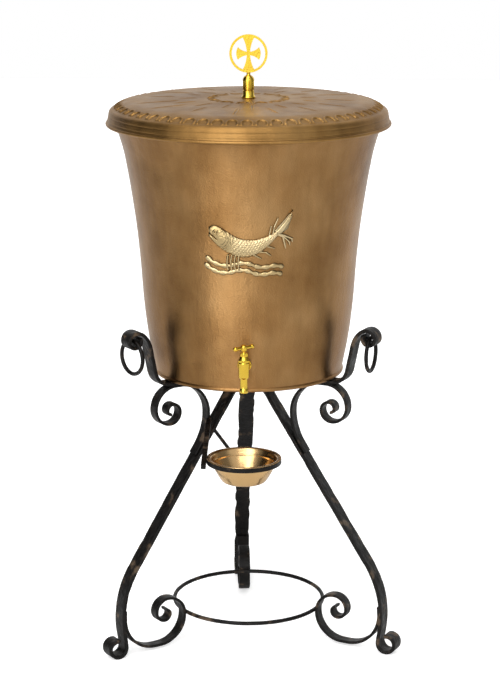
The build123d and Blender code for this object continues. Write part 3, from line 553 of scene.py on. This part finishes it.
# Support bars, out under the vessel, up beside it and round into the eyes
EYE_R = 11
support_start = complex(BAR_W / 2 / math.tan(math.radians(60)) + SEAT_GAP, SEAT - BAR_T / 2)
support_steps = [
    (BASE.real + BASE_BEAD + 0.2 - support_start.real, 0),
    (29, 78), (46, 0), (45, -33), (20, -45), (14, -90), (EYE_R, -205),
]
EYE = walk(support_start, 0, support_steps[:6])[0] - EYE_R

for k, (name, azimuth) in enumerate(SIDES.items()):
    leg_dent = 2.6 if name == "rear" else 1.7
    piece = bar(f"forged_leg_{name}", azimuth, leg_start, leg_heading, leg_steps, BAR_W, BAR_T, leg_dent, 1 + k, 2.5)
    place(piece, "stand", "wrought_iron", f"leg_{name}")
    for scroll, start, heading, steps, seed in (("foot_scroll", foot_start, lap_heading, foot_scroll_steps, 11),
                                                ("upper_scroll", upper_start, leg_heading - 180, upper_steps, 21)):
        piece = bar(f"forged_{scroll}_{name}", azimuth, start, heading, steps, SCROLL_W, SCROLL_T, 0.9, seed + k)
        place(piece, "stand", "wrought_iron", f"{scroll}_{name}")
    piece = bar(f"forged_support_{name}", azimuth, support_start, 0, support_steps, BAR_W, BAR_T, 1.2, 31 + k)
    place(piece, "stand", "wrought_iron", f"support_{name}")


def torus(name, major, minor, centre, seed, segments, facing=None):
    """Ring of round bar with slight hammering. It stands upright and faces a heading, or else lies flat."""
    around, rough = 20, 0.12
    u = np.arange(segments) * 2 * np.pi / segments
    v = np.arange(around) * 2 * np.pi / around
    uu, vv = np.meshgrid(u, v, indexing="ij")
    beat = value_noise(uu * segments / 40, vv * around / 30, seed, 4 * (segments // 40))
    minor = minor - rough + rough * beat
    across = (major + minor * np.cos(vv)) * np.cos(uu)
    up = (major + minor * np.cos(vv)) * np.sin(uu)
    out = minor * np.sin(vv)
    if facing is not None:
        h = math.radians(facing)
        xyz = np.stack([centre[0] - across * math.sin(h) + out * math.cos(h),
                        centre[1] + across * math.cos(h) + out * math.sin(h), centre[2] + up], -1)
    else:
        xyz = np.stack([centre[0] + across, centre[1] + up, centre[2] + out], -1)
    return new_object(name, xyz.reshape(-1, 3), grid_faces(segments, around, True, True), wrought_iron)


piece = torus("forged_floor_ring", RING_R, ROD, (0, 0, RING_Z), 51, 400)
place(piece, "stand", "wrought_iron", "floor_ring")

# Handles. Each hangs in its eye where the round bar rests, a little askew
HANDLE_R, REST_ANGLE = 28.5, math.radians(32)
half = BAR_W / 2
eye_bore = EYE_R - BAR_T / 2
play = eye_bore - SEAT_GAP - 0.2 - ROD / math.sqrt(1 - (half / HANDLE_R) ** 2)
RING_TURN = math.degrees(math.atan(play * math.sin(REST_ANGLE) / half))
ring_drop = math.sqrt(HANDLE_R**2 - half**2) + play * math.cos(REST_ANGLE)
for k, (name, azimuth) in enumerate(SIDES.items()):
    az = math.radians(azimuth)
    centre = (EYE.real * math.cos(az), EYE.real * math.sin(az), EYE.imag - ring_drop)
    piece = torus(f"forged_ring_{name}", HANDLE_R, ROD, centre, 61 + k, 160, azimuth + RING_TURN)
    place(piece, f"ring_handle_{name}", "wrought_iron", f"ring_{name}")


# Drip bowl: thin beaten sheet with a rolled lip
TAP_AXIS = (0.0, TAP_Y)
BOWL_LIP = 374
BOWL_HALF = 0.6  # half the sheet's thickness
AXIS = 0.02  # innermost radius of a turned piece, where a flat end closes it
bowl_steps = [(31, 0), (8, 55), (130, 17), (3, -72), (3.4, 0)]
bowl_floor = BOWL_LIP - walk(0j, 0, bowl_steps)[0].imag
bowl_middle, bowl_heading, _ = sample(complex(0, bowl_floor), 0, bowl_steps, 1.0)
bowl_out = np.exp(1j * np.radians(bowl_heading + 90))
upper_side = (bowl_middle + bowl_out * BOWL_HALF)[1:]
lower_side = (bowl_middle - bowl_out * BOWL_HALF)[1:]
lip = arc(bowl_middle[-1], BOWL_HALF, 60, -60, 5)
bowl_ends = [[complex(AXIS, bowl_floor + shift)] for shift in (-BOWL_HALF, BOWL_HALF)]
bowl_profile = np.concatenate([bowl_ends[0], lower_side, lip, upper_side[::-1], bowl_ends[1]])


def bowl_lines(p, angle, normal):
    """A step round the inside below the lip, and hammer marks on the wall."""
    z = p.imag
    step = np.where((normal.real < 0) & (z > 352), 0.45 * np.exp(-((z - 364) / 1.2) ** 2), 0.0)
    u = angle / (2 * np.pi)
    wall = np.clip((z - 338) / 6, 0, 1)
    marks_around = 48
    return step - wall * 0.05 * dimples(u * marks_around, z / 7.0, 8, marks_around)


bowl = lathe("beaten_bowl", bowl_profile, bright_copper, 256, TAP_AXIS, relief=bowl_lines, sharp=60)
place(bowl, "bowl", "bright_copper", "drip_bowl")


# Fish and waves: one raised relief over a grid, laid on the side of the vessel
FISH_X, FISH_Z = 9.0, 748.0  # where the grid's origin lies on the vessel
RELIEF_ROOT = 0.35  # how far the plaque's back reaches into the sheet
CELL = 0.55
gx = np.arange(-76, 76 + CELL, CELL)
gz = np.arange(-74, 46 + CELL, CELL)
X, Z = np.meshgrid(gx, gz, indexing="ij")


def stroke(points, widths, height, power=0.5):
    """Raised line along points, as wide at each as the widths say."""
    best = np.zeros_like(X)
    points = [complex(*p) for p in points]
    for (a, b), (wa, wb) in zip(zip(points, points[1:]), zip(widths, widths[1:])):
        d = b - a
        t = np.clip(((X - a.real) * d.real + (Z - a.imag) * d.imag) / abs(d) ** 2, 0, 1)
        away = np.hypot(X - a.real - t * d.real, Z - a.imag - t * d.imag)
        width = (wa + (wb - wa) * t) / 2
        best = np.maximum(best, height * np.clip(1 - (away / width) ** 2, 0, 1) ** power)
    return best


def smooth_line(xs, ys):
    """Height of a smooth curve near a few points, all over the grid."""
    return np.polynomial.chebyshev.Chebyshev.fit(xs, ys, 5)(X)


def curve(start, heading, steps, pitch=2.0):
    """Points of a chain of runs and bends, for a stroke."""
    return [(p.real, p.imag) for p in sample(complex(*start), heading, steps, pitch)[0]]


# The body swells between its back and its belly. v goes from -1 to 1 across it
back = smooth_line([-66, -56, -46, -34, -18, 0, 20, 36, 46], [11.5, 13.8, 11, 2.5, -5.5, -8.8, -6, 1, 7.5])
belly = smooth_line([-66, -58, -46, -34, -18, 0, 20, 36, 46], [-6, -15.5, -25, -32.5, -38.2, -38, -28.5, -15, -4])
centre_line = (back + belly) / 2
half_body = np.maximum((back - belly) / 2, 0.5)
v = (Z - centre_line) / half_body
NOSE, TAIL, THICKNESS = -67.5, 47.5, 6.0
in_body = (X > NOSE + 0.5) & (X < TAIL - 0.5)
ends = np.clip((X - NOSE) / 4, 0, 1) ** 0.5 * np.clip((TAIL - X) / 4, 0, 1) ** 0.5
body = np.where(in_body, THICKNESS * np.clip(1 - v**2, 0, 1) ** 0.45 * ends, 0)

# Scales in staggered rows, gills, eye and mouth
SCALE_LENGTH, SCALE_HEIGHT = 5.2, 3.6
scale_u = (X + 28) / SCALE_LENGTH
scale_v = v * half_body / SCALE_HEIGHT
row = np.floor(scale_v)
col = scale_u + 0.5 * (row % 2)
cu = (col % 1) - 0.25
cv = (scale_v % 1) - 0.5
scale_edge = np.sqrt(cu**2 + (cv * 0.9) ** 2)
scale_ridge = 0.75 * np.exp(-((scale_edge - 0.5) / 0.13) ** 2) * (cu > -0.1)
scales = np.where((X > -30) & (X < 42) & (body > 1), scale_ridge, 0)
gill = np.zeros_like(X)
for radius, height in ((13, 0.9), (17.5, 1.1), (22, 0.9)):
    ring_gap = np.hypot(X + 50, (Z + 6) * 0.95) - radius
    gill += np.where((X > -47) & (body > 1), height * np.exp(-(ring_gap / 1.1) ** 2), 0)
eye_gap = np.hypot(X + 55, Z - 3.5)
eye = 1.3 * np.exp(-((eye_gap - 3.2) / 0.8) ** 2) + 1.6 * np.clip(1 - (eye_gap / 1.8) ** 2, 0, 1)
eye = np.where(body > 0.5, eye, 0)
mouth = -3.2 * stroke([(-71, 5), (-60, -3), (-53, -9)], [3.2, 2.6, 1.4], 1.0)
lip_line = stroke([(-69, -1), (-62, -6), (-56, -13)], [2.4, 2.6, 1.6], 0.9)
fish = body + scales + gill + eye + np.where(body > 0.3, mouth + lip_line, 0)

# Tail: a webbed upper lobe with five rays, a lower lobe with three, then the fins on the back and the belly
fish = np.maximum(fish, stroke([(40, -2), (56, 12), (66, 30)], [10, 15, 7], 2.6, 0.3))
upper_rays = (
    ((70, 38), 5.0, 4.2), ((69, 31), 4.5, 3.9), ((66, 23), 4.5, 3.7), ((61, 15), 4.5, 3.5), ((57, 8), 4.0, 3.2),
)
for tip, width, height in upper_rays:
    bend = ((42 + tip[0]) / 2 + 1.5, (tip[1] - 1) / 2 - 1)
    fish = np.maximum(fish, stroke([(42, -1), bend, tip], [6, width + 0.5, 1.2], height))
for x, z in ((69, -15), (65, -20), (58, -25)):
    bends = [(54, -2 + (z + 15) * 0.3), (x - 1, z + 6)]
    fish = np.maximum(fish, stroke([(44, 0), *bends, (x, z)], [6, 4.6, 4.2, 1.8], 3.8))
for a, b in (((31, -6), (35, 13)), ((38, 0), (40, 12)), ((40, 12), (46, 26))):
    fish = np.maximum(fish, stroke([a, b], [4.2, 2.6], 3.4))
for a, b in (((24, -19), (40, -24)), ((14, -29), (27, -31)), ((27, -31), (34, -36)), ((6, -34), (19, -41))):
    fish = np.maximum(fish, stroke([a, b], [4.6, 2.8], 3.4))

# Two bands of waves and four drops of spray above them
water = np.zeros_like(X)
wave = [(42, 65), (40, -45), (40, 40), (30, -35)]
for start in ((-69, -41), (-71, -53)):
    line = curve(start, -45, wave)
    swell = [9.5 * (0.85 + 0.18 * math.sin(k * 0.9)) for k in range(len(line))]
    water = np.maximum(water, stroke(line, swell, 3.8))
for k in range(4):
    line = curve((-35 + 6 * k, -35), -105, [(46, 30)], 3.0)
    water = np.maximum(water, stroke(line, [4.4] * len(line), 5.2, 0.7))
relief = np.maximum(fish, water)
relief = relief + np.where(relief > 0.4, 0.18 * value_noise(X / 2.2, Z / 2.2, 77), 0)

# Mesh of the raised cells: a front, a back in the sheet, and an edge all round
solid = relief > 0.15
cells = solid[:-1, :-1] & solid[1:, :-1] & solid[:-1, 1:] & solid[1:, 1:]
top_index = -np.ones(X.shape, int)
used = np.zeros(X.shape, bool)
for di in (0, 1):
    for dj in (0, 1):
        used[di:di + cells.shape[0], dj:dj + cells.shape[1]] |= cells
top_index[used] = np.arange(used.sum())  # number of each vertex that a cell uses
px, pz, ph = X[used] + FISH_X, Z[used] + FISH_Z, relief[used]


def on_wall(lift):
    r = wall_radius(pz) + lift
    return np.stack([px, -np.sqrt(r**2 - px**2), pz], -1)


count = int(used.sum())
verts = np.concatenate([on_wall(ph), on_wall(np.full(count, -RELIEF_ROOT))])
i, j = np.nonzero(cells)
quads = np.stack([top_index[i, j], top_index[i + 1, j], top_index[i + 1, j + 1], top_index[i, j + 1]], -1)
edges = {}
for q in quads.tolist():
    for a, b in zip(q, q[1:] + q[:1]):
        if (b, a) in edges:
            del edges[(b, a)]
        else:
            edges[(a, b)] = True
faces = quads.tolist() + (quads[:, ::-1] + count).tolist() + [[b, a, a + count, b + count] for a, b in edges]
fish_piece = new_object("fish_relief", verts, faces, relief_brass, 70)
lift = fish_piece.data.attributes.new("lift", "FLOAT", "POINT")
lift.data.foreach_set("value", np.concatenate([np.clip(ph / 4.2, 0, 1), np.zeros(count)]).tolist())
place(fish_piece, "vessel", "aged_brass", "fish_plaque")


# Tap, in gilt brass. Heights are from the inlet's axis, except where a comment says otherwise

def hexagon(name, flats, low, high, along_y=False, bevel=0.7, turn=0.0, bore=0.0):
    """Hexagon nut with its corners turned down at both ends, and with a plain hole where bore is a radius.
    It stands on the spindle's axis, or lies on the inlet's, with low and high from the vessel's axis."""
    count = 48
    corner, rim = flats / 2 / math.cos(math.radians(30)), flats / 2 + 0.1
    around = np.arange(count) * 2 * np.pi / count
    flat_reach = flats / 2 / np.cos((around + np.pi / 6) % (np.pi / 3) - np.pi / 6)
    angle = around + math.radians(turn)
    levels = [(low, rim), (low + bevel, corner), (high - bevel, corner), (high, rim)]
    if bore:
        levels += [(high, bore), (low, bore)]
    rings = []
    for level, size in levels:
        reach = np.minimum(flat_reach, size)
        rings.append(np.stack([reach * np.cos(angle), reach * np.sin(angle), np.full(count, level)], -1))
    xyz = np.concatenate(rings)
    if along_y:
        xyz = np.stack([xyz[:, 0], -xyz[:, 2], xyz[:, 1] + TAP_Z], -1)
    else:
        xyz = xyz + np.array([0, TAP_Y, TAP_Z])
    faces = grid_faces(len(rings), count, close_rows=bore > 0, close_columns=True)
    if not bore:
        faces += [list(range(count))[::-1], list(range(3 * count, 4 * count))]
    return new_object(name, xyz, faces, gilt_brass, 30)


BARREL_TOP, BONNET_SHOULDER, BONNET_TOP, GLAND_TOP, TEE_HEIGHT = 11, 15, 21, 27, 35
casting = [
    4.2 - 40j, 4.2 - 40.7j, 4.6 - 41j, 6.4 - 41j, 7 - 40.4j, 7 - 34.8j, 6.4 - 33.8j, 6.2 - 33j, 6.2 - 18j,
    6.6 - 16.8j, 8.6 - 14.6j, 9 - 13.6j, 9 + 8.5j, 9 + 10.4j, 8.6 + 11j, 5.95 + 11j, 5.95 + 4j, 4.2 - 10j,
]
piece = lathe("tap_casting", TAP_Z * 1j + np.array(casting), gilt_brass, 96, TAP_AXIS, closed=True, sharp=35)
place(piece, "vessel", "gilt_brass", "tap_body")

# The inlet, turned about its own axis. The profile's heights are distances from the vessel's axis
FLANGE_BACK, FLANGE_FRONT = 173.66j, 176.66j
inlet = [
    4 + 155.2j, 6 + 155.2j, 6 + FLANGE_BACK, 11.1 + FLANGE_BACK, 11.5 + FLANGE_BACK + 0.44j,
    11.5 + FLANGE_FRONT - 0.46j, 11.1 + FLANGE_FRONT, 6.5 + FLANGE_FRONT, 6.5 + 195j, 4 + 195j,
]
piece = lathe("tap_inlet", inlet, gilt_brass, 96, sharp=35)
piece.data.transform(Matrix.Rotation(math.radians(90), 4, "X"))
piece.data.transform(Matrix.Translation((0, 0, TAP_Z * MM)))
place(piece, "vessel", "gilt_brass")
piece = hexagon("tap_hexagon", 19, FLANGE_FRONT.imag, FLANGE_FRONT.imag + 5, along_y=True, turn=30)
place(piece, "vessel", "gilt_brass")

BONNET_BORE = 4.05
bonnet_cone = [
    BONNET_BORE + 15j, 8.3 + 15j, 7.9 + 16.2j, 6.9 + 19j, 6.5 + 20.6j, 6.1 + 21j, 4.95 + 21j, 4.95 + 18j,
]
piece = lathe("tap_bonnet_cone", TAP_Z * 1j + np.array(bonnet_cone), gilt_brass, 64, TAP_AXIS, closed=True, sharp=35)
place(piece, "vessel", "gilt_brass", "tap_bonnet")
piece = hexagon("tap_bonnet_hexagon", 17, BARREL_TOP, BONNET_SHOULDER, bore=BONNET_BORE)
place(piece, "vessel", "gilt_brass")
piece = hexagon("tap_gland_hexagon", 12, BONNET_TOP, GLAND_TOP, turn=10)
place(piece, "vessel", "gilt_brass", "tap_gland_nut")

spindle = [
    2 + 0.1j, 4 + 0.1j, 4 + 14.4j, 3 + 14.6j, 3 + 29.6j, 3.6 + 30.2j, 4.9 + 30.9j, 5.2 + 31.6j, 5.2 + 37.6j,
    4.7 + 38.8j, 3.4 + 39.8j, 1.4 + 40.3j, AXIS + 40.4j,
]
piece = lathe("tap_stem", TAP_Z * 1j + np.array(spindle), gilt_brass, 64, TAP_AXIS, sharp=40)
place(piece, "tap_handle", "gilt_brass", "tap_spindle")

# Tee bar with ball ends, turned about its own length and then laid through the spindle's head
BALL_AT, BALL_R, TEE_TURN = 17j, 4, 40
tee = [
    AXIS - BALL_AT - BALL_R * 1j, *arc(-BALL_AT, BALL_R, -82, 42, 14), 3 - 13.2j, 2.85 - 8j,
    2.85 + 8j, 3 + 13.2j, *arc(BALL_AT, BALL_R, -42, 82, 14), AXIS + BALL_AT + BALL_R * 1j,
]
piece = lathe("tap_tee", tee, gilt_brass, 48, sharp=50)
piece.data.transform(Matrix.Rotation(math.radians(90), 4, "Y"))
piece.data.transform(Matrix.Rotation(math.radians(TEE_TURN), 4, "Z"))
piece.data.transform(Matrix.Translation((0, TAP_Y * MM, (TAP_Z + TEE_HEIGHT) * MM)))
place(piece, "tap_handle", "gilt_brass", "tap_tee_bar")


# Finial's column and its stud. Heights are from the top of the lid
COLUMN_R, COLUMN_HEIGHT = 9.8, 29
column = [
    AXIS - 14j, 3 - 14j, 3 + 0j, 11.2 + 0j, 11.5 + 0.4j, 11.5 + 2j, 11.1 + 2.6j, 9.9 + 4.2j, 9.6 + 5j,
    9.5 + 12j, 8.8 + 12.6j, 8.8 + 13.6j, 9.6 + 14.2j, COLUMN_R + COLUMN_HEIGHT * 1j,
    *arc(COLUMN_HEIGHT * 1j, COLUMN_R, 6, 68, 12), 3.4 + 38.4j, 3.3 + 40j, 3.5 + 41.8j, AXIS + 41.8j,
]
piece = lathe("turned_column", LID_TOP * 1j + np.array(column), gilt_brass, 96, sharp=40)
place(piece, "lid", "gilt_brass", "finial_column")


# Camera at the photo's angle. FOCAL and the shift of the aim are in pixels of the picture
DISTANCE, CAMERA_HEIGHT, TILT, SWING = 3.6, 1.410, 14.075, 2.2
FOCAL, PICTURE_HEIGHT, SENSOR = 2147.9, 700, 36.0
PAN = math.degrees(math.atan(1.5 / FOCAL))
camera_data = bpy.data.cameras.new("camera")
camera_data.sensor_fit = "VERTICAL"
camera_data.sensor_height = SENSOR
camera_data.lens = FOCAL / PICTURE_HEIGHT * SENSOR
camera_data.clip_end = 50
camera = bpy.data.objects.new("camera", camera_data)
camera.location = (DISTANCE * math.sin(math.radians(SWING)), -DISTANCE * math.cos(math.radians(SWING)), CAMERA_HEIGHT)
camera.rotation_euler = (math.radians(90 - TILT), 0, math.radians(SWING - PAN))
bpy.context.scene.collection.objects.link(camera)
bpy.context.scene.camera = camera


# Soft studio light
def area_light(name, location, target, size, power):
    data = bpy.data.lights.new(name, "AREA")
    data.shape = "RECTANGLE"
    data.size, data.size_y = size
    data.energy = power
    light = bpy.data.objects.new(name, data)
    light.location = location
    light.rotation_euler = (Vector(target) - Vector(location)).to_track_quat("-Z", "Y").to_euler()
    bpy.context.scene.collection.objects.link(light)


area_light("front_fill", (0.5, -3.4, 2.3), (0, 0, 0.6), (1.6, 1.2), 14)
area_light("top_light", (-0.4, -0.6, 3.0), (0, 0, 0.8), (1.8, 1.8), 16)


def for_camera(nodes, links, seen, otherwise, output):
    """Shows one shader to the camera and another one to everything else."""
    path = nodes.new("ShaderNodeLightPath")
    switch = nodes.new("ShaderNodeMixShader")
    links.new(path.outputs["Is Camera Ray"], switch.inputs["Fac"])
    links.new(otherwise.outputs[0], switch.inputs[1])
    links.new(seen.outputs[0], switch.inputs[2])
    links.new(switch.outputs[0], nodes[output].inputs["Surface"])


# White floor. What the camera sees of it is lifted to white, and the shadows stay
stage_material = bpy.data.materials.new("stage_white")
stage_material.use_nodes = True
nodes, links = stage_material.node_tree.nodes, stage_material.node_tree.links
paint = nodes["Principled BSDF"]
paint.inputs["Base Color"].default_value = (0.93, 0.93, 0.93, 1)
paint.inputs["Roughness"].default_value = 0.9
emission = nodes.new("ShaderNodeEmission")
emission.inputs["Color"].default_value = (1, 1, 1, 1)
emission.inputs["Strength"].default_value = 0.55
lifted = nodes.new("ShaderNodeAddShader")
links.new(paint.outputs[0], lifted.inputs[0])
links.new(emission.outputs[0], lifted.inputs[1])
for_camera(nodes, links, lifted, paint, "Material Output")
floor_mesh = bpy.data.meshes.new("floor")
FLOOR = 8  # metres from the middle to each side
corners = [(-FLOOR, -FLOOR, 0), (FLOOR, -FLOOR, 0), (FLOOR, FLOOR, 0), (-FLOOR, FLOOR, 0)]
floor_mesh.from_pydata(corners, [], [(0, 1, 2, 3)])
floor_mesh.materials.append(stage_material)
floor = bpy.data.objects.new("floor", floor_mesh)
bpy.context.scene.collection.objects.link(floor)

# A ring of soft panels around the object: a bright strip at the front left, darker sides, a pale backdrop behind
world = bpy.data.worlds.new("studio")
bpy.context.scene.world = world
world.use_nodes = True
nodes, links = world.node_tree.nodes, world.node_tree.links
background = nodes["Background"]
coordinates = nodes.new("ShaderNodeTexCoord")
split = nodes.new("ShaderNodeSeparateXYZ")
links.new(coordinates.outputs["Generated"], split.inputs[0])
flip = nodes.new("ShaderNodeMath")
flip.operation = "MULTIPLY"
flip.inputs[1].default_value = -1.0
links.new(split.outputs["Y"], flip.inputs[0])
bearing = nodes.new("ShaderNodeMath")
bearing.operation = "ARCTAN2"
links.new(split.outputs["X"], bearing.inputs[0])
links.new(flip.outputs[0], bearing.inputs[1])
turn = nodes.new("ShaderNodeMapRange")
turn.inputs["From Min"].default_value = -math.pi
turn.inputs["From Max"].default_value = math.pi
links.new(bearing.outputs[0], turn.inputs["Value"])
# Brightness all round: 0 is behind, 0.25 is left, 0.5 is the front and 0.75 is right
panels = ramp(nodes, links, turn.outputs["Result"], [
    (0.0, 0.21), (0.10, 0.21), (0.15, 0.004), (0.29, 0.006), (0.38, 0.1), (0.42, 1.0), (0.463, 1.0),
    (0.505, 0.2), (0.64, 0.16), (0.70, 0.05), (0.80, 0.04), (0.85, 0.21), (1.0, 0.21),
])
links.new(panels, background.inputs["Color"])
background.inputs["Strength"].default_value = 4.6
white = nodes.new("ShaderNodeBackground")
white.inputs["Color"].default_value = (1, 1, 1, 1)
for_camera(nodes, links, white, background, "World Output")

bpy.context.scene.view_settings.view_transform = "Standard"
